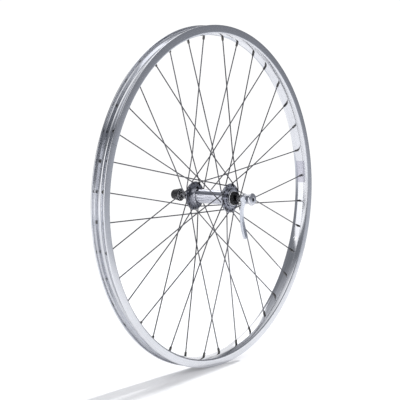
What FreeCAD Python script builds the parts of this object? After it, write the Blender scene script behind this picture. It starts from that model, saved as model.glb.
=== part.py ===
import FreeCAD, Part
import math
import os

V = FreeCAD.Vector
os.makedirs("parts", exist_ok=True)

# Frame: origin at the wheel centre, axle along Y, lever side +Y, Z up. Millimetres and degrees.

# Rim, ISO 559
rim_outer_r = 285.5
rim_width = 28.0
rim_side_foot_r = 273.4
rim_inner_r = 269.0
bead_seat_r = 279.5
well_r = 271.6
well_half = 9.8
valve_hole_d = 8.5
rim_arcs = 18

# Spokes and nipples
spoke_count = 36
spoke_d = 2.0
spoke_lead_deg = 60.0
first_hole_deg = 85.47
rim_stagger = 1.0
elbow_r = 2.0
cross_gap = 0.06
head_d = 4.0
head_h = 1.3
nipple_seat_r = 271.2
nipple_len = 12.0
nipple_head_d = 6.0
nipple_shank_d = 4.0
nipple_flats = 3.3
nipple_hole_d = 4.5

# Hub shell
flange_y = 37.0
flange_t = 3.0
flange_r = 24.2
spoke_circle_r = 20.5
spoke_hole_d = 2.6
hole_chamfer = 0.4
barrel_r = 12.0
barrel_bore_r = 9.0
boss_r = 15.8
boss_end = 44.0
cup_r = 13.0
cup_floor = 34.5

# Bearings
ball_r = 2.381
balls_per_side = 10
ball_circle_r = 8.6
ball_y = 39.0
race_r = 2.43

# Axle group
over_locknuts = 100.0
axle_r = 4.5
axle_bore_r = 2.8
axle_half = 54.0
cone_end = 44.8
washer_t = 1.2
cone_body_r = 7.97
cone_flats = 13.0
locknut_flats = 15.0
boot_r = 11.0
boot_start = 42.0
boot_end = 49.9

# Quick release
rod_r = 2.5
thread_play = 0.05
rod_end = -80.5
spring_wire = 1.0
spring_small_r = 5.1
spring_big_r = 7.2
spring_turns = 3.5
nut_face = -66.0
nut_face_t = 1.4
nut_end = -83.0
nut_big_r = 10.9
nut_small_r = 8.0
clamp_face = 64.8
clamp_t = 1.8
clamp_r = 9.0
housing_r = 7.8
housing_end = 80.0
cavity_r = 5.8
cavity_start = 67.4
pivot_y = 73.0
pin_r = 4.0
cam_r = 2.3
cam_offset = 1.5
cap_r = 10.25
cap_end = 84.2
cap_hole_r = 3.1


def revolve(points, sweep=360):
    """A solid turned about Y from (y, r) points. A point of three items is an arc's middle, marked 'arc'."""
    edges = []
    at = points[0]
    i = 1
    while i < len(points):
        p = points[i]
        if len(p) == 3:
            end = points[i + 1]
            a = V(at[1], at[0], 0)
            m = V(p[1], p[0], 0)
            b = V(end[1], end[0], 0)
            edges.append(Part.Arc(a, m, b).toShape())
            at = end
            i += 2
        else:
            edges.append(Part.makeLine(V(at[1], at[0], 0), V(p[1], p[0], 0)))
            at = p
            i += 1
    first = points[0]
    if (at[0], at[1]) != (first[0], first[1]):
        edges.append(Part.makeLine(V(at[1], at[0], 0), V(first[1], first[0], 0)))
    face = Part.Face(Part.Wire(edges))
    solid = face.revolve(V(0, 0, 0), V(0, 1, 0), -sweep)
    if solid.Volume < 0:
        solid.reverse()
    return solid


def ring(r_in, r_out, y0, y1):
    """A plain ring about Y."""
    return revolve([(y0, r_in), (y0, r_out), (y1, r_out), (y1, r_in)])


def tube_between(a, b, r):
    """A round bar from a to b."""
    d = b.sub(a)
    return Part.makeCylinder(r, d.Length, a, d)


def mirror_y(shape):
    return shape.mirror(V(0, 0, 0), V(0, 1, 0))


def turned(shape, degrees):
    """A copy turned so that an angle from +X toward +Z grows by the number of degrees."""
    s = shape.copy()
    s.rotate(V(0, 0, 0), V(0, 1, 0), -degrees)
    return s


def polar(r, degrees, y):
    a = math.radians(degrees)
    return V(r * math.cos(a), y, r * math.sin(a))


def save(name, shapes):
    if isinstance(shapes, list):
        shape = shapes[0] if len(shapes) == 1 else Part.makeCompound(shapes)
    else:
        shape = shapes
    shape.exportStep("parts/" + name + ".step")


def on_arc(deg):
    """A point (y, r) of the bearing race's section."""
    a = math.radians(deg)
    return (ball_y + race_r * math.cos(a), ball_circle_r + race_r * math.sin(a))


# ---- Spoke lines ----
face_in = flange_y - flange_t / 2
face_out = flange_y + flange_t / 2
lift = spoke_d / 2 + 0.06
hole_step = 360.0 / spoke_count


class SpokeLine:
    """The centre line of one spoke on the +Y side, its rim hole at angle 0."""

    def __init__(self, lead, outside):
        self.outside = outside
        self.hole = polar(spoke_circle_r, lead, flange_y)
        self.seat = polar(nipple_seat_r, 0, rim_stagger)
        flat = V(self.seat.x - self.hole.x, 0, self.seat.z - self.hole.z)
        self.flat_len = flat.Length
        self.dir = flat.normalize()
        cross_at = self.station_at_angle(math.copysign(hole_step, lead))
        mean_slope = (rim_stagger - flange_y) / self.flat_len
        cross_y = flange_y + mean_slope * cross_at
        apart = spoke_d / 2 + cross_gap
        if outside:
            leg_y = face_out + lift
            edge = self.station_at_radius(flange_r) + 0.6
            self.points = [self.point(elbow_r, leg_y), self.point(edge, leg_y)]
            self.points.append(self.point(cross_at, cross_y - apart))
        else:
            leg_y = face_in - lift
            self.points = [self.point(elbow_r, leg_y), self.point(elbow_r + 3, leg_y)]
            self.points.append(self.point(cross_at, cross_y + apart))
        self.points.append(self.seat)
        self.leg_y = leg_y
        last = self.seat.sub(self.points[-2])
        self.axis = last.normalize()

    def point(self, along, y):
        return V(self.hole.x + self.dir.x * along, y, self.hole.z + self.dir.z * along)

    def station_at_radius(self, r):
        """How far along the spoke it leaves a circle of radius r."""
        b = self.hole.x * self.dir.x + self.hole.z * self.dir.z
        c = self.hole.x ** 2 + self.hole.z ** 2 - r * r
        return -b + math.sqrt(b * b - c)

    def station_at_angle(self, degrees):
        """How far along the spoke it passes an angle about Y."""
        a = math.radians(degrees)
        n = (-math.sin(a), math.cos(a))
        num = self.hole.x * n[0] + self.hole.z * n[1]
        den = self.dir.x * n[0] + self.dir.z * n[1]
        return -num / den

    def solid(self):
        r = spoke_d / 2
        turn = 1 if self.outside else -1
        start = V(self.hole.x, self.leg_y - turn * elbow_r, self.hole.z)
        centre = start.add(V(self.dir.x * elbow_r, 0, self.dir.z * elbow_r))
        disc = Part.Face(Part.Wire(Part.makeCircle(r, start, V(0, 1, 0))))
        axis = V(0, turn, 0).cross(self.dir)
        elbow = disc.revolve(centre, axis, 90)
        if self.outside:
            head_base = V(self.hole.x, face_in, self.hole.z)
        else:
            head_base = V(self.hole.x, face_out, self.hole.z)
        head = Part.makeCone(head_d / 2, head_d / 2 - 0.9, head_h, head_base, V(0, -turn, 0))
        body = head.fuse([tube_between(head_base, start, r), elbow])
        end = self.seat.add(V(self.axis).multiply(nipple_top - 1.3))
        path = self.points[:-1] + [end]
        bars = []
        for a, b in zip(path[:-1], path[1:]):
            bars.append(tube_between(a, b, r))
        for p in path[1:-1]:
            bars.append(Part.makeSphere(r, p))
        return body.fuse(bars).removeSplitter()

    def frame(self, shape):
        """Moves a shape built along +Z from the seat onto this spoke's axis."""
        s = shape.copy()
        s.Placement = FreeCAD.Placement(self.seat, FreeCAD.Rotation(V(0, 0, 1), self.axis))
        return s


# ---- Nipple, built along +Z with its seat at Z = 0 ----
nipple_top = 2.3
shank_end = nipple_top - nipple_len


def nipple_shape():
    head = Part.makeCylinder(nipple_head_d / 2, 0.9)
    dome = Part.makeCone(nipple_head_d / 2, nipple_head_d / 2 - 1.0, nipple_top - 0.9, V(0, 0, 0.9))
    collar = Part.makeCylinder(nipple_shank_d / 2, 3.6, V(0, 0, -3.6))
    half = nipple_flats / 2
    shank_len = -shank_end - 3.6
    flats = Part.makeBox(nipple_flats, nipple_flats, shank_len, V(-half, -half, shank_end))
    flats = flats.common(Part.makeCylinder(nipple_shank_d / 2, shank_len, V(0, 0, shank_end)))
    body = head.fuse([dome, collar, flats])
    tip = Part.makeCone(nipple_shank_d / 2 - 0.55, nipple_shank_d / 2 + 0.6, 1.15, V(0, 0, shank_end))
    keep = tip.fuse(Part.makeCylinder(nipple_head_d, 20, V(0, 0, shank_end + 1.15)))
    body = body.common(keep)
    slot = Part.makeBox(nipple_head_d + 1, 1.1, 1.3, V(-nipple_head_d / 2 - 0.5, -0.55, nipple_top - 1.3))
    bore = Part.makeCylinder(spoke_d / 2, 20, V(0, 0, shank_end - 1))
    return body.cut(slot.fuse(bore)).removeSplitter()


def nipple_drill():
    hole = Part.makeCylinder(nipple_hole_d / 2, 14, V(0, 0, -7))
    spot = Part.makeCylinder(nipple_head_d / 2 + 0.3, 5, V(0, 0, 0))
    return hole.fuse(spot)


near_plus = SpokeLine(spoke_lead_deg, True)
near_minus = SpokeLine(-spoke_lead_deg, False)
far_plus = SpokeLine(spoke_lead_deg, False)
far_minus = SpokeLine(-spoke_lead_deg, True)


def rim_holes(first):
    """The nine rim angles of every fourth hole from hole number first."""
    return [first_hole_deg + hole_step * (first - 1 + 4 * n) for n in range(spoke_count // 4)]


groups = [
    ("spokes_right_outer", near_plus, 2, False),
    ("spokes_right_inner", near_minus, 4, False),
    ("spokes_left_inner", far_plus, 3, True),
    ("spokes_left_outer", far_minus, 1, True),
]

drills = []
nipples = {"nipples_right": [], "nipples_left": []}
plain_nipple = nipple_shape()
for name, line, first, left in groups:
    one = line.solid()
    nipple = line.frame(plain_nipple)
    drill = line.frame(nipple_drill())
    if left:
        one = mirror_y(one)
        nipple = mirror_y(nipple)
        drill = mirror_y(drill)
    angles = rim_holes(first)
    save(name, [turned(one, a) for a in angles])
    side = "nipples_left" if left else "nipples_right"
    nipples[side] += [turned(nipple, a) for a in angles]
    drills += [turned(drill, a) for a in angles]
for name in nipples:
    save(name, nipples[name])

# ---- Rim ----
half = rim_width / 2
right = [
    (0, rim_inner_r),
    (5.6, rim_inner_r + 0.1),
    (6.6, rim_inner_r + 0.3, "arc"),
    (7.6, rim_inner_r + 0.66),
    (12.4, rim_inner_r + 2.4),
    (half - 0.5, rim_side_foot_r - 1.05, "arc"),
    (half, rim_side_foot_r + 0.6),
    (half, rim_outer_r - 1.1),
    (half - 0.32, rim_outer_r - 0.32, "arc"),
    (half - 1.1, rim_outer_r),
    (half - 1.7, rim_outer_r),
    (half - 2.48, rim_outer_r - 0.32, "arc"),
    (half - 2.8, rim_outer_r - 1.1),
    (half - 2.8, rim_outer_r - 2.0),
    (half - 1.8, rim_outer_r - 3.2),
    (half - 1.7, bead_seat_r + 0.8),
    (half - 1.94, bead_seat_r + 0.24, "arc"),
    (half - 2.5, bead_seat_r),
    (half - 3.1, bead_seat_r),
    (half - 3.5, bead_seat_r - 0.4),
    (well_half, well_r + 3.2),
    (well_half - 1.6, well_r + 0.95, "arc"),
    (well_half - 4.6, well_r),
    (0, well_r),
]


def mirrored_profile(points):
    out = []
    for p in reversed(points):
        out.append((-p[0], p[1]) + tuple(p[2:]))
    return out


left_half = mirrored_profile(right)[1:]
left_side = [p for p in left_half if not (p[0] == 0 and p[1] == rim_inner_r)]
arc_deg = 360.0 / rim_arcs
arc = revolve(right + left_side + [(0, rim_inner_r)], arc_deg)
valve_deg = first_hole_deg + hole_step * 11.5
valve = tube_between(polar(rim_inner_r - 5, valve_deg, 0), polar(rim_outer_r, valve_deg, 0), valve_hole_d / 2)
# The hoop is stored as simple solids that touch: equal arcs, joined between spoke holes,
# each in three bands, which are the bed and the two sidewalls.
joint_deg = valve_deg - arc_deg / 2
rim = []
for y0, y1 in ((-half, -well_half), (-well_half, well_half), (well_half, half)):
    slab = Part.makeBox(2 * rim_outer_r, y1 - y0, 2 * rim_outer_r, V(0, y0, -rim_outer_r))
    band = arc.common(slab).Solids[0]
    rim += [turned(band, joint_deg + arc_deg * n) for n in range(rim_arcs)]
rim = [r.cut(drills + [valve]) for r in rim]
save("rim", [r.Solids[0] for r in rim])

# ---- Hub shell ----
shell_half = [
    (0, barrel_r),
    (26.0, barrel_r),
    (31.5, barrel_r + 0.9, "arc"),
    (face_in, barrel_r + 4.4),
    (face_in, flange_r - 0.6),
    (face_in + 0.6, flange_r),
    (face_out - 0.6, flange_r),
    (face_out, flange_r - 0.6),
    (face_out, boss_r + 0.8),
    (face_out + 0.23, boss_r + 0.23, "arc"),
    (face_out + 0.8, boss_r),
    (boss_end - 0.7, boss_r),
    (boss_end, boss_r - 0.7),
    (boss_end, cup_r),
    (cup_floor, cup_r),
    (cup_floor, barrel_bore_r),
]
other_half = mirrored_profile(shell_half)[:-1]
shell = revolve(shell_half + other_half + [(0, barrel_r)])
cutters = []
for side, start in ((1, first_hole_deg + 10), (-1, first_hole_deg)):
    for n in range(spoke_count // 2):
        at = start + 20.0 * n
        c = polar(spoke_circle_r, at, side * face_in)
        axis = V(0, side, 0)
        big = spoke_hole_d / 2 + hole_chamfer
        small = spoke_hole_d / 2
        hole = Part.makeCylinder(small, flange_t, c, axis)
        near = Part.makeCone(big, small, hole_chamfer, c, axis)
        tail = polar(spoke_circle_r, at, side * (face_out - hole_chamfer))
        far = Part.makeCone(small, big, hole_chamfer, tail, axis)
        cutters.append(hole.fuse([near, far]))
shell = shell.cut(cutters)
save("hub_shell", shell)


def save_pair(name, right_shape):
    save(name + "_right", right_shape)
    save(name + "_left", mirror_y(right_shape))


# ---- Bearings ----
cup = revolve([
    (cup_floor, cup_r),
    (42.0, cup_r),
    (42.0, ball_circle_r + race_r),
    (ball_y, ball_circle_r + race_r),
    on_arc(135) + ("arc",),
    (ball_y - race_r, ball_circle_r),
    (ball_y - race_r, 7.4),
    (cup_floor, 7.4),
])
save_pair("bearing_cup", cup)

cone = revolve([
    (36.4, axle_r),
    (36.4, 5.4),
    (37.6, ball_circle_r - race_r),
    (ball_y, ball_circle_r - race_r),
    on_arc(307) + ("arc",),
    on_arc(345),
    (41.6, cone_body_r),
    (cone_end, cone_body_r),
    (cone_end, axle_r),
])
flat_cut = Part.makeBox(30, 3, 5, V(-15, 42.6, cone_flats / 2))
flat_pair = [flat_cut, flat_cut.mirror(V(0, 0, 0), V(0, 0, 1))]
cone = cone.cut(flat_pair)
save_pair("bearing_cone", cone)

balls = []
for n in range(balls_per_side):
    balls.append(Part.makeSphere(ball_r, polar(ball_circle_r, 360.0 * n / balls_per_side, ball_y)))
save("balls_right", balls)
save("balls_left", [mirror_y(b) for b in balls])

dust_cap = revolve([
    (42.0, cup_r),
    (43.4, cup_r),
    (43.4, 12.3),
    (44.6, 12.3),
    (44.6, boot_r + 0.35),
    (42.0, boot_r + 0.35),
])
save_pair("dust_cap", dust_cap)

# ---- Axle group ----
axle = ring(axle_bore_r, axle_r, -axle_half, axle_half)
save("axle", axle)
locknut_start = cone_end + washer_t
washer = ring(axle_r, 8.1, cone_end, locknut_start)
save_pair("lock_washer", washer)

hex_r = locknut_flats / 2 / math.cos(math.radians(30))
corners = [polar(hex_r, 60.0 * n, locknut_start) for n in range(7)]
hex_face = Part.Face(Part.makePolygon(corners))
locknut = hex_face.extrude(V(0, over_locknuts / 2 - locknut_start, 0))
bevel = revolve([
    (locknut_start, 0),
    (locknut_start, hex_r),
    (over_locknuts / 2 - 0.9, hex_r),
    (over_locknuts / 2, hex_r - 0.8),
    (over_locknuts / 2, 0),
])
locknut = locknut.common(bevel)
locknut = locknut.cut(Part.makeCylinder(axle_r, 20, V(0, 40, 0), V(0, 1, 0)))
save_pair("locknut", locknut)

boot = revolve([
    (boot_start, cone_body_r),
    (boot_start, boot_r - 0.5),
    (boot_start + 0.5, boot_r),
    (boot_end - 0.8, boot_r),
    (boot_end, boot_r - 0.8),
    (boot_end, hex_r),
    (locknut_start, hex_r),
    (locknut_start, 8.1),
    (cone_end, 8.1),
    (cone_end, cone_body_r),
])
save_pair("rubber_boot", boot)

# ---- Skewer rod with its yoke ----
yoke_r = cavity_r - 0.3
yoke_y0 = pivot_y - 2.3
yoke_y1 = pivot_y + 5.4
rod = Part.makeCylinder(rod_r, yoke_y0 - rod_end, V(0, rod_end, 0), V(0, 1, 0))
yoke = Part.makeCylinder(yoke_r, yoke_y1 - yoke_y0, V(0, yoke_y0, 0), V(0, 1, 0))
slot_y = cam_r + 0.42
slot_z = cam_r + cam_offset + 0.3
slot = Part.makeBox(30, 2 * slot_y, 2 * slot_z, V(-15, pivot_y + cam_offset - slot_y, -slot_z))
skewer = rod.fuse(yoke).cut(slot)
save("skewer_rod", skewer.removeSplitter())


def cone_spring(y_small, y_big):
    """A conical coil spring about Y, small end at y_small."""
    length = abs(y_big - y_small) - spring_wire
    pitch = length / spring_turns
    slope = math.degrees(math.atan2(spring_big_r - spring_small_r, length))
    helix = Part.makeHelix(pitch, length, spring_small_r, slope)
    circle = Part.Wire(Part.makeCircle(spring_wire / 2, V(spring_small_r, 0, 0), V(0, 1, 0)))
    coil = Part.Wire(helix).makePipeShell([circle], True, True)
    coil.rotate(V(0, 0, 0), V(1, 0, 0), -90)
    coil.translate(V(0, y_small + spring_wire / 2, 0))
    return coil


spring_right = cone_spring(axle_half, clamp_face)
spring_left = mirror_y(cone_spring(axle_half, -nut_face))
save("spring_right", spring_right)
save("spring_left", spring_left)

# ---- Nut ----
nut_body = revolve([
    (nut_face - nut_face_t, rod_r + thread_play),
    (nut_face - nut_face_t, nut_big_r),
    (nut_face - nut_face_t - 1.8, nut_big_r - 0.3),
    (nut_end + 1.0, nut_small_r + 0.25),
    (nut_end, nut_small_r - 0.6),
    (nut_end, 4.2),
    (nut_end + 1.2, 4.2),
    (nut_end + 1.2, rod_r + thread_play),
])
grooves = []
for n in range(18):
    at = 20.0 * n
    a = polar(nut_big_r + 0.05, at, nut_face - nut_face_t - 2.6)
    b = polar(nut_small_r + 0.45, at, nut_end - 1.0)
    grooves.append(tube_between(a, b, 0.9))
nut_body = nut_body.cut(grooves)
save("skewer_nut", nut_body)


def bite_ring(y0, y1, r_in, r_out, toward):
    """A clamping ring with radial teeth on the face that points toward +1 or -1 along Y."""
    base = ring(r_in, r_out, y0, y1)
    face = y1 if toward > 0 else y0
    cuts = []
    for n in range(24):
        at = 15.0 * n
        a = polar(r_in - 1.0, at, face + toward * 0.35)
        b = polar(r_out + 1.0, at, face + toward * 0.35)
        cuts.append(tube_between(a, b, 0.6))
    return base.cut(cuts)


save("nut_bite_ring", bite_ring(nut_face - nut_face_t, nut_face, rod_r + 0.3, 9.6, 1))

# ---- Cam housing ----
housing = revolve([
    (clamp_face + clamp_t, rod_r + 0.3),
    (clamp_face + clamp_t, housing_r),
    (housing_end - 0.3, housing_r),
    (housing_end, housing_r - 0.3),
    (housing_end, cavity_r),
    (cavity_start + 0.3, cavity_r),
    (cavity_start, cavity_r - 0.3),
    (cavity_start, rod_r + 0.3),
])
pin_bore_r = pin_r + 0.05
housing = housing.cut(Part.makeCylinder(pin_bore_r, 20, V(-6.9, pivot_y, 0), V(1, 0, 0)))
pad = Part.makeCylinder(5.6, 8.2, V(0, pivot_y, 0), V(1, 0, 0))
pad = pad.cut(Part.makeCylinder(housing_r, 40, V(0, 60, 0), V(0, 1, 0)))
pad = pad.cut(Part.makeCylinder(pin_bore_r, 20, V(0, pivot_y, 0), V(1, 0, 0)))
keep = Part.makeBox(20, 40, 40, V(2, 55, -20))
housing = housing.fuse(pad.common(keep)).removeSplitter()
save("cam_housing", housing)
save("clamp_bite_ring", bite_ring(clamp_face, clamp_face + clamp_t, rod_r + 0.3, clamp_r, -1))
end_cap = revolve([
    (housing_end, cap_hole_r),
    (housing_end, cap_r - 0.9),
    (housing_end + 0.9, cap_r),
    (housing_end + 2.2, cap_r),
    (housing_end + 3.3, cap_r - 1.0, "arc"),
    (cap_end - 0.4, cap_r - 3.0),
    (cap_end, cap_hole_r + 0.5),
    (cap_end - 0.3, cap_hole_r),
])
save("end_cap", end_cap)

# ---- Cam pin and lever ----
pin_far = Part.makeCylinder(pin_r, 1.1, V(-6.8, pivot_y, 0), V(1, 0, 0))
cam = Part.makeCylinder(cam_r, 11.8, V(-5.9, pivot_y + cam_offset, 0), V(1, 0, 0))
pin_near = Part.makeCylinder(pin_r, 3.7, V(5.7, pivot_y, 0), V(1, 0, 0))
square = Part.makeBox(3.0, 4.6, 4.6, V(9.4, pivot_y - 2.3, -2.3))
pin = pin_far.fuse([cam, pin_near, square]).removeSplitter()
save("cam_pin", pin)

lever_spine = [
    (12.4, 73.0, -1.5, 3.6, 9.6),
    (12.8, 72.7, -8.0, 4.2, 7.8),
    (12.9, 71.2, -13.0, 4.6, 6.4),
    (11.6, 69.4, -19.5, 5.6, 5.4),
    (9.8, 68.2, -28.0, 6.6, 4.9),
    (7.8, 67.8, -38.0, 7.8, 5.4),
    (5.6, 68.6, -49.0, 8.4, 6.0),
    (3.8, 70.4, -60.0, 8.8, 6.4),
    (3.2, 71.6, -65.4, 7.0, 5.0),
]


def lever_section(x, y, z, wide, thick):
    """A rounded oblong, wide along X and thick along Y."""
    r = min(wide, thick) * 0.42
    hx = wide / 2
    hy = thick / 2
    k = r * (1 - math.sqrt(0.5))
    edges = []
    spots = [(hx, hy), (-hx, hy), (-hx, -hy), (hx, -hy)]
    for n, (cx, cy) in enumerate(spots):
        sx = math.copysign(1, cx)
        sy = math.copysign(1, cy)
        one = V(x + cx, y + cy - sy * r, z)
        two = V(x + cx - sx * r, y + cy, z)
        mid = V(x + cx - sx * k, y + cy - sy * k, z)
        a, b = (one, two) if n % 2 == 0 else (two, one)
        edges.append(Part.Arc(a, mid, b).toShape())
        nx, ny = spots[(n + 1) % 4]
        if n % 2 == 0:
            c = V(x + nx + sx * r, y + ny, z)
        else:
            c = V(x + nx, y + ny - math.copysign(1, ny) * r, z)
        edges.append(Part.makeLine(b, c))
    return Part.Wire(edges)


arm = Part.makeLoft([lever_section(*s) for s in lever_spine], True)
boss = Part.makeCylinder(5.4, 5.5, V(8.7, pivot_y, 0), V(1, 0, 0))
lever = arm.fuse(boss)
lever = lever.cut(Part.makeBox(3.0, 4.6, 4.6, V(9.4, pivot_y - 2.3, -2.3)))
lever = lever.cut(Part.makeCylinder(pin_r, 0.7, V(8.7, pivot_y, 0), V(1, 0, 0)))
save("lever", lever.removeSplitter())
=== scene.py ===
import math

import bmesh
import bpy
from mathutils import Matrix, Vector


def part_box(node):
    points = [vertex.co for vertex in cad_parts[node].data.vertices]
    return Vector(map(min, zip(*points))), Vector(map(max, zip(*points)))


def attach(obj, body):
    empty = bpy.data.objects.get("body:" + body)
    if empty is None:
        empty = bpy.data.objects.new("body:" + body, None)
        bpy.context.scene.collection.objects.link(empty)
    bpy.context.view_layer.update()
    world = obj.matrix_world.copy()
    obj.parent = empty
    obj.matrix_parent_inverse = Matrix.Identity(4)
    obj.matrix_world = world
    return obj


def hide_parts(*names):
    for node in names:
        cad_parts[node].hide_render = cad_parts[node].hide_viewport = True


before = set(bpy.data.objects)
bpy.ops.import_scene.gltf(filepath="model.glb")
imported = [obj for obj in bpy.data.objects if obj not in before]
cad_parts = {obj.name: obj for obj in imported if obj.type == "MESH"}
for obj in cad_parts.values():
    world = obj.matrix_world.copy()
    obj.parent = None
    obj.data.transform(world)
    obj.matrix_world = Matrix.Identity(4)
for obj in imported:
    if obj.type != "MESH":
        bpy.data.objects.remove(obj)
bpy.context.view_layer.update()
MM = 0.001

# Sizes in millimetres, the same as the CAD's.
RIM_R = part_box("rim")[1].z / MM
RIM_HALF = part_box("rim")[1].y / MM
LIP_T = 2.8
WELL_R = 271.6
WELL_HALF = 9.8
BEAD_R = 279.5
FOOT_R = 273.4
INNER_R = 269.0
VALVE_R = 4.25
SPOKES = 36
SPOKE_R = 1.0
SPOKE_CIRCLE = 20.5
FLANGE_Y = 37.0
FLANGE_T = 3.0
FLANGE_R = 24.2
BARREL_R = 12.2
SEAT_R = 271.2
STAGGER = 1.0
CLEAR = 0.06
BOOT_INNER_Y = 42.0
BOOT_OUTER_Y = 49.9
BOOT_R = 11.0
SPRING_WIRE_R = 0.5
SPRING_SMALL_R = 5.1
SPRING_BIG_R = 7.2
NUT_SIDE_MIN_R = 6.0
LEVER_Y = 73.0

# Angles in degrees about the axle, from +X toward +Z.
HOLE_PITCH = 360 / SPOKES
FIRST_HOLE = 85.47
VALVE_AT = FIRST_HOLE + 11.5 * HOLE_PITCH
SEAM_AT = (FIRST_HOLE + 29.5 * HOLE_PITCH) % 360
LABEL_AT = 174.0
LABEL_HALF = 4.2
LEAD = 60.0


# ---------------------------------------------------------------- mesh tools
def make_object(name, verts, faces, smooth=True):
    """A mesh object from points in millimetres."""
    mesh = bpy.data.meshes.new(name)
    mesh.from_pydata([tuple(c * MM for c in v) for v in verts], [], faces)
    mesh.validate()
    mesh.update()
    obj = bpy.data.objects.new(name, mesh)
    bpy.context.scene.collection.objects.link(obj)
    if smooth:
        mesh.polygons.foreach_set("use_smooth", [True] * len(mesh.polygons))
    return obj


def fix_normals(obj):
    """Turns every face outward."""
    bm = bmesh.new()
    bm.from_mesh(obj.data)
    bmesh.ops.recalc_face_normals(bm, faces=bm.faces)
    bm.to_mesh(obj.data)
    bm.free()


def sharpen(obj, degrees):
    """Smooth shading with creases where faces meet at more than an angle."""
    bm = bmesh.new()
    bm.from_mesh(obj.data)
    limit = math.radians(degrees)
    for e in bm.edges:
        e.smooth = len(e.link_faces) == 2 and e.calc_face_angle(0.0) < limit
    for f in bm.faces:
        f.smooth = True
    bm.to_mesh(obj.data)
    bm.free()


def apply_modifiers(obj):
    """Replaces the mesh with what its modifiers make of it."""
    dg = bpy.context.evaluated_depsgraph_get()
    mesh = bpy.data.meshes.new_from_object(obj.evaluated_get(dg))
    obj.modifiers.clear()
    old = obj.data
    obj.data = mesh
    bpy.data.meshes.remove(old)


def cut_away(obj, cutter):
    """Subtracts one object from another and removes it."""
    mod = obj.modifiers.new("cut", "BOOLEAN")
    mod.object = cutter
    mod.solver = "EXACT"
    apply_modifiers(obj)
    bpy.data.objects.remove(cutter)


def arc_points(p, q, m, steps):
    """Points on the circle through p, m and q, from p to q, without p."""
    ax, ay = p
    bx, by = m
    cx, cy = q
    d = 2 * (ax * (by - cy) + bx * (cy - ay) + cx * (ay - by))
    a2 = ax * ax + ay * ay
    b2 = bx * bx + by * by
    c2 = cx * cx + cy * cy
    ux = (a2 * (by - cy) + b2 * (cy - ay) + c2 * (ay - by)) / d
    uy = (a2 * (cx - bx) + b2 * (ax - cx) + c2 * (bx - ax)) / d
    r = math.hypot(ax - ux, ay - uy)
    t0 = math.atan2(ay - uy, ax - ux)
    tm = math.atan2(by - uy, bx - ux)
    t1 = math.atan2(cy - uy, cx - ux)
    ccw = (tm - t0) % (2 * math.pi) < (t1 - t0) % (2 * math.pi)
    sweep = (t1 - t0) % (2 * math.pi) if ccw else -((t0 - t1) % (2 * math.pi))
    out = []
    for i in range(1, steps + 1):
        t = t0 + sweep * i / steps
        out.append((ux + r * math.cos(t), uy + r * math.sin(t)))
    return out


def profile(items, steps):
    """(y, r) points from a list where a point with a third item is an arc's middle."""
    pts = [items[0][:2]]
    i = 1
    while i < len(items):
        if len(items[i]) == 3:
            pts += arc_points(pts[-1], items[i + 1][:2], items[i][:2], steps)
            i += 2
        else:
            pts.append(items[i][:2])
            i += 1
    return pts


def ring_faces(rings, sides):
    """Quads between rings of points that follow each other."""
    faces = []
    for i in range(rings - 1):
        for k in range(sides):
            m = (k + 1) % sides
            faces.append((i * sides + k, i * sides + m, (i + 1) * sides + m, (i + 1) * sides + k))
    return faces


def end_faces(rings, sides):
    """The two polygons that close a stack of rings."""
    last = (rings - 1) * sides
    return [tuple(range(sides))[::-1], tuple(last + k for k in range(sides))]


def lathe(name, pts, segments, wave=None):
    """A closed surface of revolution about Y from (y, r) points. wave(angle, y, r) may change r."""
    verts = []
    faces = []
    n = len(pts)
    for s in range(segments):
        a = 2 * math.pi * s / segments
        for y, r in pts:
            rr = wave(a, y, r) if wave else r
            verts.append((rr * math.cos(a), y, rr * math.sin(a)))
    for s in range(segments):
        t = (s + 1) % segments
        for k in range(n):
            m = (k + 1) % n
            faces.append((s * n + k, s * n + m, t * n + m, t * n + k))
    obj = make_object(name, verts, faces)
    fix_normals(obj)
    return obj


def tube_mesh(path, radius, sides, taper=None):
    """Points and faces of a round tube along a path, ends closed."""
    verts = []
    tangent = (path[1] - path[0]).normalized()
    side = tangent.orthogonal().normalized()
    for i, p in enumerate(path):
        if i == 0:
            t = (path[1] - path[0]).normalized()
        elif i == len(path) - 1:
            t = (path[-1] - path[-2]).normalized()
        else:
            t = ((path[i + 1] - p).normalized() + (p - path[i - 1]).normalized()).normalized()
        side = (side - t * side.dot(t)).normalized()
        other = t.cross(side)
        r = radius * (taper[i] if taper else 1.0)
        for k in range(sides):
            a = 2 * math.pi * k / sides
            verts.append(p + side * (r * math.cos(a)) + other * (r * math.sin(a)))
    return verts, ring_faces(len(path), sides) + end_faces(len(path), sides)


def rounded_path(points, radii, steps):
    """A line through points with its inner corners rounded."""
    out = [points[0]]
    for p, before, after, radius, n in zip(points[1:], points, points[2:], radii, steps):
        u = (before - p).normalized()
        v = (after - p).normalized()
        half = u.angle(v) / 2
        cut = radius / math.tan(half)
        centre = p + (u + v).normalized() * (radius / math.sin(half))
        a = p + u * cut - centre
        axis = a.cross((p + v * cut) - centre).normalized()
        sweep = math.pi - 2 * half
        for k in range(n + 1):
            out.append(centre + Matrix.Rotation(sweep * k / n, 3, axis) @ a)
    out.append(points[-1])
    return out


def join_parts(parts):
    """One list of points and faces from several."""
    verts = []
    faces = []
    for v, f in parts:
        base = len(verts)
        verts += v
        faces += [tuple(i + base for i in face) for face in f]
    return verts, faces


def turn(v, degrees):
    """A point turned about the axle."""
    a = math.radians(degrees)
    c = math.cos(a)
    s = math.sin(a)
    return Vector((v[0] * c - v[2] * s, v[1], v[0] * s + v[2] * c))


def flipped(v):
    """A point moved to the other side of the wheel."""
    return Vector((v[0], -v[1], v[2]))


# ---------------------------------------------------------------- material tools
def new_material(name):
    mat = bpy.data.materials.new(name)
    mat.use_nodes = True
    tree = mat.node_tree
    return mat, tree, tree.nodes["Principled BSDF"]


def node(tree, kind, **values):
    n = tree.nodes.new(kind)
    for key, value in values.items():
        setattr(n, key, value)
    return n


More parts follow.
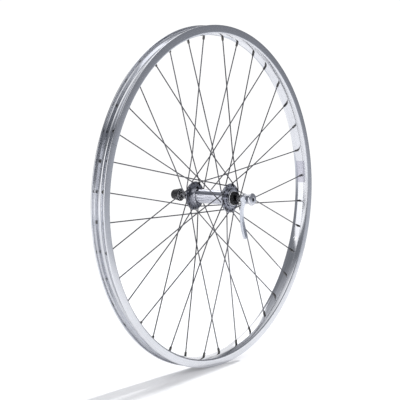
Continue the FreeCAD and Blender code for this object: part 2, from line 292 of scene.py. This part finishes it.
def math_node(tree, op, a, b=None, clamp=False):
    """A maths node on sockets or plain numbers."""
    n = node(tree, "ShaderNodeMath", operation=op, use_clamp=clamp)
    for i, item in enumerate((a, b)):
        if item is None:
            continue
        if isinstance(item, (int, float)):
            n.inputs[i].default_value = item
        else:
            tree.links.new(item, n.inputs[i])
    return n.outputs[0]


def ramp(tree, fac, stops):
    """A colour ramp from (position, colour) pairs."""
    n = node(tree, "ShaderNodeValToRGB")
    e = n.color_ramp.elements
    while len(e) < len(stops):
        e.new(0.5)
    for item, (pos, colour) in zip(e, stops):
        item.position = pos
        item.color = (*colour, 1.0)
    tree.links.new(fac, n.inputs["Fac"])
    return n.outputs["Color"]


def two_tone(tree, fac, dark, light, top=0.7):
    """A colour that drifts from one tone to another over the middle of a 0..1 value."""
    return ramp(tree, fac, [(0.3, dark), (top, light)])


def noise(tree, vector, scale, detail=3.0):
    n = node(tree, "ShaderNodeTexNoise")
    n.inputs["Scale"].default_value = scale
    n.inputs["Detail"].default_value = detail
    n.inputs["Roughness"].default_value = 0.55
    tree.links.new(vector, n.inputs["Vector"])
    return n.outputs["Fac"]


def blend(tree, a, share, b):
    """Two values added, the first at its share and the second at the rest."""
    return math_node(
        tree, "ADD", math_node(tree, "MULTIPLY", a, share), math_node(tree, "MULTIPLY", b, 1 - share)
    )


def mix_colour(tree, amount, colour, other):
    """A colour faded toward a fixed one."""
    n = node(tree, "ShaderNodeMix", data_type="RGBA")
    tree.links.new(amount, n.inputs["Factor"])
    tree.links.new(colour, n.inputs[6])
    n.inputs[7].default_value = (*other, 1)
    return n.outputs[2]


def span(tree, value, low, high):
    """A 0..1 value stretched to low..high."""
    n = node(tree, "ShaderNodeMapRange")
    n.inputs["To Min"].default_value = low
    n.inputs["To Max"].default_value = high
    tree.links.new(value, n.inputs["Value"])
    return n.outputs["Result"]


def object_coords(tree):
    return node(tree, "ShaderNodeTexCoord").outputs["Object"]


def lathe_coords(tree, ring_scale, turn_scale):
    """A vector that follows turned marks, then plain coordinates, radius, Y and angle."""
    coord = object_coords(tree)
    sep = node(tree, "ShaderNodeSeparateXYZ")
    tree.links.new(coord, sep.inputs[0])
    x, y, z = sep.outputs
    squares = math_node(tree, "ADD", math_node(tree, "MULTIPLY", x, x), math_node(tree, "MULTIPLY", z, z))
    radius = math_node(tree, "SQRT", squares)
    angle = math_node(tree, "ARCTAN2", z, x)
    join = node(tree, "ShaderNodeCombineXYZ")
    for i, (value, scale) in enumerate(((radius, ring_scale), (y, ring_scale), (angle, turn_scale))):
        tree.links.new(math_node(tree, "MULTIPLY", value, scale), join.inputs[i])
    return join.outputs[0], coord, radius, y, angle


def surface(tree, shader, colour, rough, metallic=1.0):
    """Wires a colour and a roughness into the shader."""
    tree.links.new(colour, shader.inputs["Base Color"])
    tree.links.new(rough, shader.inputs["Roughness"])
    shader.inputs["Metallic"].default_value = metallic


def bump(tree, shader, height, strength, distance=0.0002):
    """Fine relief, its distance in metres."""
    b = node(tree, "ShaderNodeBump")
    b.inputs["Strength"].default_value = strength
    b.inputs["Distance"].default_value = distance
    tree.links.new(height, b.inputs["Height"])
    tree.links.new(b.outputs[0], shader.inputs["Normal"])


# ---------------------------------------------------------------- materials
def turned_metal(name, dark, light, rough, rings, relief, stain, metallic=1.0):
    """Bright metal with fine turned lines, faint smears and an uneven polish."""
    mat, tree, shader = new_material(name)
    lines, coord, *_ = lathe_coords(tree, rings, 3.0)
    grain = noise(tree, lines, 1.0, 2.0)
    smear = noise(tree, coord, stain, 4.0)
    polish = span(tree, blend(tree, grain, 0.5, smear), *rough)
    surface(tree, shader, two_tone(tree, smear, dark, light), polish, metallic)
    bump(tree, shader, grain, relief)
    return mat


def drawn_metal(name, dark, light, rough, scale=400.0, relief=0.08):
    """Metal with a fine even grain."""
    mat, tree, shader = new_material(name)
    coord = object_coords(tree)
    fine = noise(tree, coord, scale)
    wide = noise(tree, coord, scale / 40)
    surface(tree, shader, two_tone(tree, wide, dark, light), span(tree, fine, *rough))
    bump(tree, shader, fine, relief, 0.0001)
    return mat


def coated(name, dark, light, rough, scale, relief):
    """Moulded or painted black with a fine bump."""
    mat, tree, shader = new_material(name)
    coord = object_coords(tree)
    fine = noise(tree, coord, scale, 4.0)
    wide = noise(tree, coord, scale / 20)
    surface(tree, shader, two_tone(tree, wide, dark, light, 0.75), span(tree, fine, *rough), 0.0)
    shader.inputs["Specular IOR Level"].default_value = 0.4
    bump(tree, shader, fine, relief)
    return mat


def rim_material():
    """Polished extruded alloy: rolled lines, satin sidewalls, the joint and a plain grey label inside."""
    seam_half = 0.0007
    label_half = math.radians(LABEL_HALF)
    mat, tree, shader = new_material("rim_alloy_polished")
    lines, coord, radius, y, angle = lathe_coords(tree, 600.0, 0.7)
    grain = noise(tree, lines, 1.0)
    smear = noise(tree, coord, 14.0, 4.0)

    def within(centre, half):
        """1 where the angle about the axle is near one, both in radians."""
        away = math_node(tree, "ABSOLUTE", math_node(tree, "SUBTRACT", angle, centre))
        return math_node(tree, "LESS_THAN", away, half)

    body = two_tone(tree, blend(tree, grain, 0.6, smear), (0.60, 0.61, 0.64), (0.74, 0.75, 0.78))
    jointed = mix_colour(tree, within(math.radians(SEAM_AT), seam_half), body, (0.12, 0.12, 0.13))
    facing = math_node(tree, "LESS_THAN", radius, (INNER_R + 1.2) * MM)
    label = math_node(tree, "MULTIPLY", within(math.radians(LABEL_AT), label_half), facing)
    shown = mix_colour(tree, label, jointed, (0.50, 0.50, 0.56))
    side = math_node(tree, "GREATER_THAN", math_node(tree, "ABSOLUTE", y), (RIM_HALF - 0.4) * MM)
    rough = span(tree, grain, 0.10, 0.16)
    rough = math_node(tree, "ADD", rough, math_node(tree, "MULTIPLY", side, 0.08))
    rough = math_node(tree, "ADD", rough, math_node(tree, "MULTIPLY", label, 0.14))
    surface(tree, shader, shown, rough)
    bump(tree, shader, grain, 0.002)
    return mat


def hub_material():
    """Polished barrel between flanges darkened with painted shade, the left flange darkest."""
    fade_per_metre = 500.0
    right_flange_shade = 0.38
    left_flange_extra_shade = 0.52
    mat, tree, shader = new_material("hub_alloy_polished")
    lines, coord, radius, y, _ = lathe_coords(tree, 2500.0, 3.0)
    grain = noise(tree, lines, 1.0, 2.0)
    smear = noise(tree, coord, 60.0, 4.0)
    # Painted shade: past the barrel the colour darkens toward a dark blue-grey over the flanges, more on the
    # left (-Y) flange.
    past_barrel = math_node(tree, "SUBTRACT", radius, BARREL_R * MM)
    outward = math_node(tree, "MULTIPLY", past_barrel, fade_per_metre, True)
    left = math_node(tree, "LESS_THAN", y, 0.0)
    share = math_node(tree, "ADD", math_node(tree, "MULTIPLY", left, left_flange_extra_shade), right_flange_shade)
    bright = two_tone(tree, smear, (0.44, 0.45, 0.50), (0.60, 0.61, 0.67))
    body = mix_colour(tree, math_node(tree, "MULTIPLY", outward, share), bright, (0.15, 0.155, 0.18))
    surface(tree, shader, body, span(tree, smear, 0.07, 0.15))
    bump(tree, shader, grain, 0.012)
    return mat


def axle_material():
    """Ground steel, near black over the threaded ends as painted shade."""
    painted_shade_from = 40.0
    mat, tree, shader = new_material("axle_steel_shaded_ends")
    lines, coord, _, y, _ = lathe_coords(tree, 6000.0, 3.0)
    grain = noise(tree, lines, 1.0, 2.0)
    smear = noise(tree, coord, 80.0, 4.0)
    # Painted shade: beyond 40 mm from the middle the steel turns near black.
    ends = math_node(tree, "GREATER_THAN", math_node(tree, "ABSOLUTE", y), painted_shade_from * MM)
    steel = two_tone(tree, smear, (0.42, 0.42, 0.44), (0.58, 0.58, 0.60))
    surface(tree, shader, mix_colour(tree, ends, steel, (0.03, 0.03, 0.032)), span(tree, smear, 0.18, 0.34))
    bump(tree, shader, grain, 0.08)
    return mat


def toothed_ring():
    """Blackened steel, worn bright along the outer edge where it bites."""
    worn_from = 9.1
    waviness = 0.4
    fade_per_metre = 5000.0
    mat, tree, shader = new_material("ring_steel_blackened")
    lines, coord, radius, *_ = lathe_coords(tree, 2500.0, 0.7)
    grain = noise(tree, lines, 1.0)
    wear = noise(tree, coord, 700.0, 4.0)
    reach = math_node(tree, "ADD", radius, math_node(tree, "MULTIPLY", wear, waviness * MM))
    past = math_node(tree, "SUBTRACT", reach, worn_from * MM)
    worn = span(tree, math_node(tree, "MULTIPLY", past, fade_per_metre, True), 0.0, 1.0)
    black = two_tone(tree, grain, (0.012, 0.012, 0.013), (0.035, 0.035, 0.038))
    surface(tree, shader, mix_colour(tree, worn, black, (0.60, 0.61, 0.64)), span(tree, wear, 0.28, 0.46))
    bump(tree, shader, grain, 0.05)
    return mat


PLATED = {"rings": 2500.0, "relief": 0.012, "stain": 70.0}
GROUND = {"rings": 6000.0, "relief": 0.08, "stain": 80.0}
MIRROR = (0.06, 0.12)

# Name, darkest tone, lightest tone and range of roughness.
MATS = {
    "rim": rim_material(),
    "hub": hub_material(),
    "axle": axle_material(),
    "housing": turned_metal("cam_housing_chrome", (0.34, 0.35, 0.38), (0.46, 0.47, 0.50), MIRROR, **PLATED),
    "cap": turned_metal(
        "dust_cap_zinc", (0.86, 0.87, 0.90), (0.96, 0.96, 0.98), (0.26, 0.40), **PLATED, metallic=0.2
    ),
    "spring": drawn_metal("spring_wire", (0.16, 0.16, 0.17), (0.26, 0.26, 0.27), (0.24, 0.36)),
    "spoke": drawn_metal("spoke_drawn_steel", (0.10, 0.10, 0.11), (0.19, 0.19, 0.205), (0.22, 0.34)),
    "nipple": drawn_metal("nipple_nickel", (0.07, 0.068, 0.066), (0.17, 0.165, 0.16), (0.16, 0.30)),
    "steel": turned_metal("ground_steel", (0.42, 0.42, 0.44), (0.58, 0.58, 0.60), (0.16, 0.30), **GROUND),
    "zinc": drawn_metal("zinc_plate", (0.52, 0.53, 0.56), (0.68, 0.69, 0.72), (0.24, 0.36)),
    "chrome": turned_metal("quick_release_chrome", (0.55, 0.56, 0.60), (0.70, 0.71, 0.75), MIRROR, **PLATED),
    "lever": drawn_metal(
        "lever_satin_alloy", (0.58, 0.61, 0.67), (0.71, 0.73, 0.79), (0.26, 0.38), scale=500.0, relief=0.06
    ),
    "rubber": coated(
        "boot_rubber", (0.008, 0.008, 0.009), (0.02, 0.02, 0.022), (0.55, 0.78), scale=1400.0, relief=0.35
    ),
    "black": coated(
        "nut_black", (0.006, 0.006, 0.007), (0.016, 0.016, 0.018), (0.30, 0.46), scale=1100.0, relief=0.15
    ),
    "ring": toothed_ring(),
    "oxide": drawn_metal(
        "black_oxide", (0.02, 0.02, 0.022), (0.05, 0.05, 0.055), (0.30, 0.45), scale=900.0, relief=0.12
    ),
}


def paint(obj, key):
    obj.data.materials.clear()
    obj.data.materials.append(MATS[key])


def piece(obj, key, body, replaced):
    """Paints a piece, fixes it to its body and hides the CAD nodes that it stands for."""
    paint(obj, key)
    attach(obj, body)
    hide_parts(*replaced)


# ---------------------------------------------------------------- rim
half_rim = [
    (0, INNER_R),
    (5.6, INNER_R + 0.1),
    (6.6, INNER_R + 0.3, "arc"),
    (7.6, INNER_R + 0.66),
    (12.4, INNER_R + 2.4),
    (RIM_HALF - 0.5, FOOT_R - 1.05, "arc"),
    (RIM_HALF, FOOT_R + 0.6),
    (RIM_HALF, RIM_R - 1.1),
    (RIM_HALF - 0.32, RIM_R - 0.32, "arc"),
    (RIM_HALF - 1.1, RIM_R),
    (RIM_HALF - 1.7, RIM_R),
    (RIM_HALF - LIP_T + 0.32, RIM_R - 0.32, "arc"),
    (RIM_HALF - LIP_T, RIM_R - 1.1),
    (RIM_HALF - LIP_T, RIM_R - 2.0),
    (RIM_HALF - 1.8, RIM_R - 3.2),
    (RIM_HALF - 1.7, BEAD_R + 0.8),
    (RIM_HALF - 1.94, BEAD_R + 0.24, "arc"),
    (RIM_HALF - 2.5, BEAD_R),
    (RIM_HALF - 3.1, BEAD_R),
    (RIM_HALF - 3.5, BEAD_R - 0.4),
    (WELL_HALF, WELL_R + 3.2),
    (WELL_HALF - 1.6, WELL_R + 0.95, "arc"),
    (WELL_HALF - 4.6, WELL_R),
    (0, WELL_R),
]
one_side = profile(half_rim, 6)
section = one_side + [(-y, r) for y, r in reversed(one_side[1:-1])]
rim = lathe("rim_body", section, 540)
valve_line = [turn(Vector((r, 0, 0)), VALVE_AT) for r in (INNER_R - 4, WELL_R + 4)]
cut_away(rim, make_object("valve_cutter", *tube_mesh(valve_line, VALVE_R, 40)))
sharpen(rim, 28)
piece(rim, "rim", "wheel", ["rim"])


# ---------------------------------------------------------------- spokes and nipples
def spoke_line(lead, outside):
    """Corner points of a spoke's centre line on the +Y side, its rim hole at angle 0, and its way there."""
    a = math.radians(lead)
    hole = Vector((SPOKE_CIRCLE * math.cos(a), 0, SPOKE_CIRCLE * math.sin(a)))
    seat = Vector((SEAT_R, STAGGER, 0))
    flat = Vector((seat.x - hole.x, 0, seat.z - hole.z))
    d = flat.normalized()

    def at(s, y):
        return Vector((hole.x + d.x * s, y, hole.z + d.z * s))

    # Where the spoke passes the one that it crosses last, half a spoke's room to one side.
    c = math.radians(math.copysign(HOLE_PITCH, lead))
    n = (-math.sin(c), math.cos(c))
    cross = -(hole.x * n[0] + hole.z * n[1]) / (d.x * n[0] + d.z * n[1])
    cross_y = FLANGE_Y + (STAGGER - FLANGE_Y) / flat.length * cross
    apart = SPOKE_R + CLEAR
    if outside:
        leg = FLANGE_Y + FLANGE_T / 2 + apart
        b = hole.x * d.x + hole.z * d.z
        past_edge = -b + math.sqrt(b * b - SPOKE_CIRCLE**2 + FLANGE_R**2) + 0.6
        pts = [at(0, leg), at(past_edge, leg), at(cross, cross_y - apart)]
        head_y = FLANGE_Y - FLANGE_T / 2
    else:
        leg = FLANGE_Y - FLANGE_T / 2 - apart
        pts = [at(0, leg), at(5, leg), at(cross, cross_y + apart)]
        head_y = FLANGE_Y + FLANGE_T / 2
    axis = (seat - pts[-1]).normalized()
    head = Vector((hole.x, head_y, hole.z))
    return [head] + pts + [seat + axis * 0.9], axis, seat


def spoke_mesh(points, outside):
    """One spoke with its elbow and its domed head."""
    head = points[0]
    bar = tube_mesh(rounded_path(points, [2.0, 14.0, 40.0], [10, 4, 4]), SPOKE_R, 16)
    sign = -1 if outside else 1
    rings = [(0.0, 1.05), (0.0, 2.0), (0.25, 2.0), (0.7, 1.75), (1.05, 1.3), (1.28, 0.7), (1.3, 0.01)]
    sides = 20
    verts = []
    for h, r in rings:
        for k in range(sides):
            t = 2 * math.pi * k / sides
            verts.append(Vector((head.x + r * math.cos(t), head.y + sign * h, head.z + r * math.sin(t))))
    return join_parts([bar, (verts, ring_faces(len(rings), sides))])


def nipple_mesh():
    """One nipple along +Z with its seat at 0: square shank, round collar and a domed, slotted head."""
    flats = 1.65
    top = 2.3
    rows = [
        (-9.7, 1.02, 0), (-9.7, 1.35, 0), (-9.35, 1.62, 0.4), (-8.9, 1.9, 1), (-8.2, 2.0, 1), (-4.1, 2.0, 1),
        (-3.75, 2.0, 0.6), (-3.45, 2.0, 0), (0.0, 2.0, 0), (0.0, 2.75, 0), (0.18, 3.0, 0), (0.9, 3.0, 0),
        (1.45, 2.8, 0), (1.95, 2.35, 0), (2.22, 1.6, 0), (top, 0.8, 0), (top, 0.02, 0),
    ]
    sides = 32
    verts = []
    for z, r, square in rows:
        for k in range(sides):
            t = 2 * math.pi * k / sides
            flat = flats / max(abs(math.cos(t)), abs(math.sin(t)))
            rr = r * (1 - square) + min(r, flat) * square
            verts.append(Vector((rr * math.cos(t), rr * math.sin(t), z)))
    obj = make_object("nipple_blank", verts, ring_faces(len(rows), sides) + end_faces(len(rows), sides))
    fix_normals(obj)
    slot_half = 0.5
    slot_deep = 1.1
    box = [(sx * 3.5, sy * slot_half, z) for z in (top - slot_deep, 4.0) for sx in (-1, 1) for sy in (-1, 1)]
    quads = [(0, 1, 3, 2), (4, 6, 7, 5), (0, 4, 5, 1), (2, 3, 7, 6), (0, 2, 6, 4), (1, 5, 7, 3)]
    cutter = make_object("nipple_slot", box, quads, False)
    fix_normals(cutter)
    cut_away(obj, cutter)
    out = ([v.co / MM for v in obj.data.vertices], [tuple(p.vertices) for p in obj.data.polygons])
    bpy.data.objects.remove(obj)
    return out


# Name, lead in degrees, whether the spoke leaves outside its flange, first rim hole, and whether it is
# on the -Y side.
GROUPS = [
    ("right_outer", LEAD, True, 2, False),
    ("right_inner", -LEAD, False, 4, False),
    ("left_inner", LEAD, False, 3, True),
    ("left_outer", -LEAD, True, 1, True),
]
blank_verts, blank_faces = nipple_mesh()
nipple_parts = {"right": [], "left": []}
for label, lead, outside, first, left in GROUPS:
    points, axis, seat = spoke_line(lead, outside)
    spin = Vector((0, 0, 1)).rotation_difference(axis).to_matrix()
    spoke_verts, spoke_faces = spoke_mesh(points, outside)
    nipple_verts = [seat + spin @ v for v in blank_verts]
    spoke_parts = []
    for k in range(SPOKES // 4):
        angle = FIRST_HOLE + HOLE_PITCH * (first - 1 + 4 * k)
        for verts, faces, parts in (
            (spoke_verts, spoke_faces, spoke_parts),
            (nipple_verts, blank_faces, nipple_parts["left" if left else "right"]),
        ):
            parts.append(([turn(flipped(v) if left else v, angle) for v in verts], faces))
    spokes = make_object("spokes_" + label + "_set", *join_parts(spoke_parts))
    fix_normals(spokes)
    sharpen(spokes, 50)
    piece(spokes, "spoke", "wheel", ["spokes_" + label])
for side, parts in nipple_parts.items():
    nips = make_object("nipples_" + side + "_set", *join_parts(parts))
    fix_normals(nips)
    sharpen(nips, 35)
    piece(nips, "nipple", "wheel", ["nipples_" + side])


# ---------------------------------------------------------------- boots and springs
def boot(side):
    """A rubber boot with two shallow grooves round it."""
    y0 = BOOT_INNER_Y
    y1 = BOOT_OUTER_Y
    r = BOOT_R
    grooves = []
    for g in (y0 + 3.2, y0 + 5.2):
        grooves += [(g, r), (g + 0.25, r - 0.25), (g + 0.7, r - 0.25), (g + 0.95, r)]
    pts = profile([
        (y0, 8.0), (y0, r - 0.65), (y0 + 0.15, r - 0.15, "arc"), (y0 + 0.6, r), *grooves, (y1 - 0.9, r),
        (y1 - 0.25, r - 0.25, "arc"), (y1, r - 0.85), (y1, 8.7), (y0 + 4.0, 8.7), (y0 + 4.0, 8.0),
    ], 5)
    obj = lathe("boot_" + side, [(y if side == "right" else -y, r) for y, r in pts], 96)
    sharpen(obj, 40)
    piece(obj, "rubber", "axle_group", ["rubber_boot_" + side])


boot("right")
boot("left")


def coil(side, y_small, y_big):
    """A conical spring with closed end turns."""
    turns = 4.5
    total = int(turns * 40)
    sign = 1 if y_big > y_small else -1
    length = abs(y_big - y_small) - 2 * SPRING_WIRE_R
    pts = []
    for i in range(total + 1):
        t = i / total
        rise = min(1.0, max(0.0, (t * turns - 0.5) / (turns - 1.0)))
        rise = rise * rise * (3 - 2 * rise) * 0.4 + rise * 0.6
        y = y_small + sign * (SPRING_WIRE_R + length * rise)
        r = SPRING_SMALL_R + (SPRING_BIG_R - SPRING_SMALL_R) * rise
        a = 2 * math.pi * turns * t
        pts.append(Vector((r * math.cos(a), y, r * math.sin(a))))
    obj = make_object("coil_" + side, *tube_mesh(pts, SPRING_WIRE_R, 12))
    fix_normals(obj)
    return obj


axle_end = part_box("axle")[1].y / MM
ring_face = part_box("clamp_bite_ring")[0].y / MM
nut_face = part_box("nut_bite_ring")[1].y / MM
piece(coil("right", axle_end, ring_face), "spring", "cam_body", ["spring_right"])
piece(coil("left", -axle_end, nut_face), "spring", "skewer", ["spring_left"])


# ---------------------------------------------------------------- nut and end cap
def ribs(angle, y, r):
    """Eighteen shallow flutes along the tapered side of the nut."""
    start = -69.5
    end = -82.1
    if r < NUT_SIDE_MIN_R or y > start or y < end:
        return r
    fade = min(1.0, (start - y) / 1.2, (y - end) / 0.8)
    return r - 0.5 * fade * max(0.0, math.cos(18 * angle)) ** 2


def split_long_runs(pts):
    """Six steps along each long outer run of a profile, so that a wave can follow it."""
    out = []
    for (y0, r0), (y1, r1) in zip(pts, pts[1:]):
        n = 6 if abs(y1 - y0) > 1.0 and r0 > NUT_SIDE_MIN_R else 1
        out += [(y0 + (y1 - y0) * i / n, r0 + (r1 - r0) * i / n) for i in range(n)]
    return out + [pts[-1]]


nut_section = profile([
    (-67.4, 2.6), (-67.4, 10.55), (-67.5, 10.8, "arc"), (-67.8, 10.9), (-69.0, 10.75), (-69.6, 10.6),
    (-71.5, 10.2), (-74.5, 9.6), (-78.0, 8.95), (-81.0, 8.45), (-82.1, 8.2), (-82.75, 7.95, "arc"),
    (-83.0, 7.4), (-83.0, 4.5), (-82.8, 4.2), (-81.8, 4.2), (-81.8, 2.6),
], 4)
nut = lathe("nut_body", split_long_runs(nut_section), 216, ribs)
sharpen(nut, 40)
piece(nut, "black", "nut", ["skewer_nut"])

cap_section = profile([
    (80.0, 3.1), (80.0, 9.2), (80.15, 9.9, "arc"), (80.9, 10.25), (82.0, 10.25), (83.1, 9.6, "arc"),
    (83.8, 7.4), (84.1, 5.5, "arc"), (84.2, 3.7), (84.1, 3.3, "arc"), (83.8, 3.1),
], 8)
cap = lathe("end_cap_disc", cap_section, 128)
sharpen(cap, 40)
piece(cap, "chrome", "cam_body", ["end_cap"])

# ---------------------------------------------------------------- lever
# X, Y, Z, width along X and thickness along Y.
LEVER_SPINE = [
    (12.4, 73.0, -1.5, 3.6, 9.6),
    (12.8, 72.7, -8.0, 4.2, 7.8),
    (12.9, 71.2, -13.0, 4.6, 6.4),
    (11.6, 69.4, -19.5, 5.6, 5.4),
    (9.8, 68.2, -28.0, 6.6, 4.9),
    (7.8, 67.8, -38.0, 7.8, 5.4),
    (5.6, 68.6, -49.0, 8.4, 6.0),
    (3.8, 70.4, -60.0, 8.8, 6.4),
    (3.2, 71.6, -65.4, 7.0, 5.0),
]


def between(p0, p1, p2, p3, t):
    """A point between the middle two of four on a smooth curve."""
    return tuple(
        0.5 * (2 * b + (c - a) * t + (2 * a - 5 * b + 4 * c - d) * t * t + (3 * b - a - 3 * c + d) * t**3)
        for a, b, c, d in zip(p0, p1, p2, p3)
    )


def blade_mesh():
    """The curved blade, its section a rounded rectangle."""
    roundness = 0.55
    steps = 6
    sides = 40
    last = len(LEVER_SPINE) - 1
    rows = []
    for i in range(last):
        four = [LEVER_SPINE[max(0, min(last, i + j))] for j in (-1, 0, 1, 2)]
        rows += [between(*four, k / steps) for k in range(steps)]
    rows.append(LEVER_SPINE[-1])
    verts = []
    for x, y, z, wide, thick in rows:
        for k in range(sides):
            c = math.cos(2 * math.pi * k / sides)
            s = math.sin(2 * math.pi * k / sides)
            cx = math.copysign(abs(c) ** roundness, c) * wide / 2
            cy = math.copysign(abs(s) ** roundness, s) * thick / 2
            verts.append((x + cx, y + cy, z))
    return verts, ring_faces(len(rows), sides) + end_faces(len(rows), sides)


boss_path = [Vector((8.7 + 5.5 * i / 6, LEVER_Y, 0)) for i in range(7)]
boss = tube_mesh(boss_path, 5.4, 48, [0.94, 1, 1, 1, 1, 0.98, 0.9])
lever = make_object("lever_blade", *join_parts([blade_mesh(), boss]))
fix_normals(lever)
remesh = lever.modifiers.new("weld", "REMESH")
remesh.mode = "VOXEL"
remesh.voxel_size = 0.35 * MM
relax = lever.modifiers.new("relax", "SMOOTH")
relax.factor = 0.5
relax.iterations = 6
apply_modifiers(lever)
lever.data.polygons.foreach_set("use_smooth", [True] * len(lever.data.polygons))
piece(lever, "lever", "lever_arm", ["lever"])

# ---------------------------------------------------------------- finishes of the CAD nodes that stay
KEEP = {
    "hub_shell": "hub",
    "bearing_cup_left": "steel",
    "bearing_cup_right": "steel",
    "bearing_cone_left": "steel",
    "bearing_cone_right": "steel",
    "balls_left": "steel",
    "balls_right": "steel",
    "dust_cap_left": "cap",
    "dust_cap_right": "cap",
    "axle": "axle",
    "lock_washer_left": "steel",
    "lock_washer_right": "steel",
    "locknut_left": "oxide",
    "locknut_right": "oxide",
    "skewer_rod": "zinc",
    "nut_bite_ring": "ring",
    "clamp_bite_ring": "zinc",
    "cam_housing": "housing",
    "cam_pin": "steel",
}
for name, key in KEEP.items():
    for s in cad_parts[name].material_slots:
        s.material = MATS[key]

# ---------------------------------------------------------------- floor
FLOOR_R = 1.25
floor_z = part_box("rim")[0].z
round_about = [math.radians(a) for a in range(0, 360, 4)]
floor_edge = [(FLOOR_R * math.cos(a) / MM, FLOOR_R * math.sin(a) / MM, floor_z / MM) for a in round_about]
floor = make_object("floor", floor_edge, [tuple(range(len(floor_edge)))], False)
floor_mat, _, floor_shader = new_material("floor_white")
floor_shader.inputs["Base Color"].default_value = (0.93, 0.93, 0.94, 1)
floor_shader.inputs["Roughness"].default_value = 0.9
floor_shader.inputs["Specular IOR Level"].default_value = 0.0
floor_shader.inputs["Emission Color"].default_value = (1, 1, 1, 1)
floor_shader.inputs["Emission Strength"].default_value = 0.14
floor.data.materials.append(floor_mat)


# ---------------------------------------------------------------- light
def softbox(colour, azimuth, elevation, inner, outer, strength):
    """Adds a round soft light to the tent, at a direction, fading between two angles."""
    a = math.radians(azimuth)
    e = math.radians(elevation)
    dot = node(wt, "ShaderNodeVectorMath", operation="DOT_PRODUCT")
    wt.links.new(toward, dot.inputs[0])
    dot.inputs[1].default_value = (math.cos(e) * math.cos(a), math.cos(e) * math.sin(a), math.sin(e))
    fade = node(wt, "ShaderNodeMapRange", interpolation_type="SMOOTHSTEP")
    wt.links.new(dot.outputs["Value"], fade.inputs["Value"])
    fade.inputs["From Min"].default_value = math.cos(math.radians(outer))
    fade.inputs["From Max"].default_value = math.cos(math.radians(inner))
    return mix_colour(wt, fade.outputs["Result"], colour, (strength, strength, strength * 1.01))


# Azimuth, elevation, full and faded-out half angles in degrees, and strength.
SOFTBOXES = [
    (-14, 4, 31, 35, 1.45),
    (-142, 22, 16, 28, 1.05),
    (60, 55, 10, 25, 1.3),
    (-119, 42, 10, 19, 2.3),
    (42, -3, 6, 12, 2.0),
]
world = bpy.data.worlds.new("studio")
bpy.context.scene.world = world
world.use_nodes = True
wt = world.node_tree
wt.nodes.clear()
toward = node(wt, "ShaderNodeTexCoord").outputs["Generated"]
sep = node(wt, "ShaderNodeSeparateXYZ")
wt.links.new(toward, sep.inputs[0])
height = math_node(wt, "ADD", math_node(wt, "MULTIPLY", sep.outputs[2], 0.5), 0.5)
sky = ramp(wt, height, [
    (0.0, (0.74, 0.78, 0.86)), (0.41, (0.80, 0.83, 0.90)), (0.487, (0.27, 0.28, 0.31)),
    (0.84, (0.22, 0.23, 0.25)), (0.93, (0.50, 0.51, 0.54)), (1.0, (0.85, 0.86, 0.88)),
])
for box in SOFTBOXES:
    sky = softbox(sky, *box)
tent = node(wt, "ShaderNodeBackground")
wt.links.new(sky, tent.inputs["Color"])
tent.inputs["Strength"].default_value = 1.0
backdrop = node(wt, "ShaderNodeBackground")
backdrop.inputs["Strength"].default_value = 1.05
backdrop.inputs["Color"].default_value = (1, 1, 1, 1)
mixer = node(wt, "ShaderNodeMixShader")
ray = node(wt, "ShaderNodeLightPath")
world_out = node(wt, "ShaderNodeOutputWorld")
wt.links.new(ray.outputs["Is Camera Ray"], mixer.inputs["Fac"])
wt.links.new(tent.outputs[0], mixer.inputs[1])
wt.links.new(backdrop.outputs[0], mixer.inputs[2])
wt.links.new(mixer.outputs[0], world_out.inputs["Surface"])

key_data = bpy.data.lights.new("key", "SUN")
key_data.energy = 3.9
key_data.angle = math.radians(3.0)
key = bpy.data.objects.new("key", key_data)
key.location = (-2.4, -0.19, 0.97)
key.rotation_mode = "QUATERNION"
key.rotation_quaternion = (-key.location).to_track_quat("-Z", "Y")
key.visible_glossy = False
bpy.context.scene.collection.objects.link(key)

# ---------------------------------------------------------------- camera
AZIMUTH = math.radians(52.245)
ELEVATION = math.radians(5.189)
DISTANCE = 2.145
AIM_RIGHT = -0.0206
AIM_UP = -0.0054
back = Vector((
    math.sin(AZIMUTH) * math.cos(ELEVATION),
    math.cos(AZIMUTH) * math.cos(ELEVATION),
    math.sin(ELEVATION),
))
right = Vector((-math.cos(AZIMUTH), math.sin(AZIMUTH), 0))
up = back.cross(right)
cam_data = bpy.data.cameras.new("camera")
cam_data.sensor_width = 36
cam_data.lens = 115.2
cam_data.clip_end = 200
cam = bpy.data.objects.new("camera", cam_data)
cam.location = back * DISTANCE + right * AIM_RIGHT + up * AIM_UP
cam.rotation_mode = "QUATERNION"
cam.rotation_quaternion = Matrix((right, up, back)).transposed().to_quaternion()
bpy.context.scene.collection.objects.link(cam)
bpy.context.scene.camera = cam
bpy.context.scene.view_settings.view_transform = "Standard"
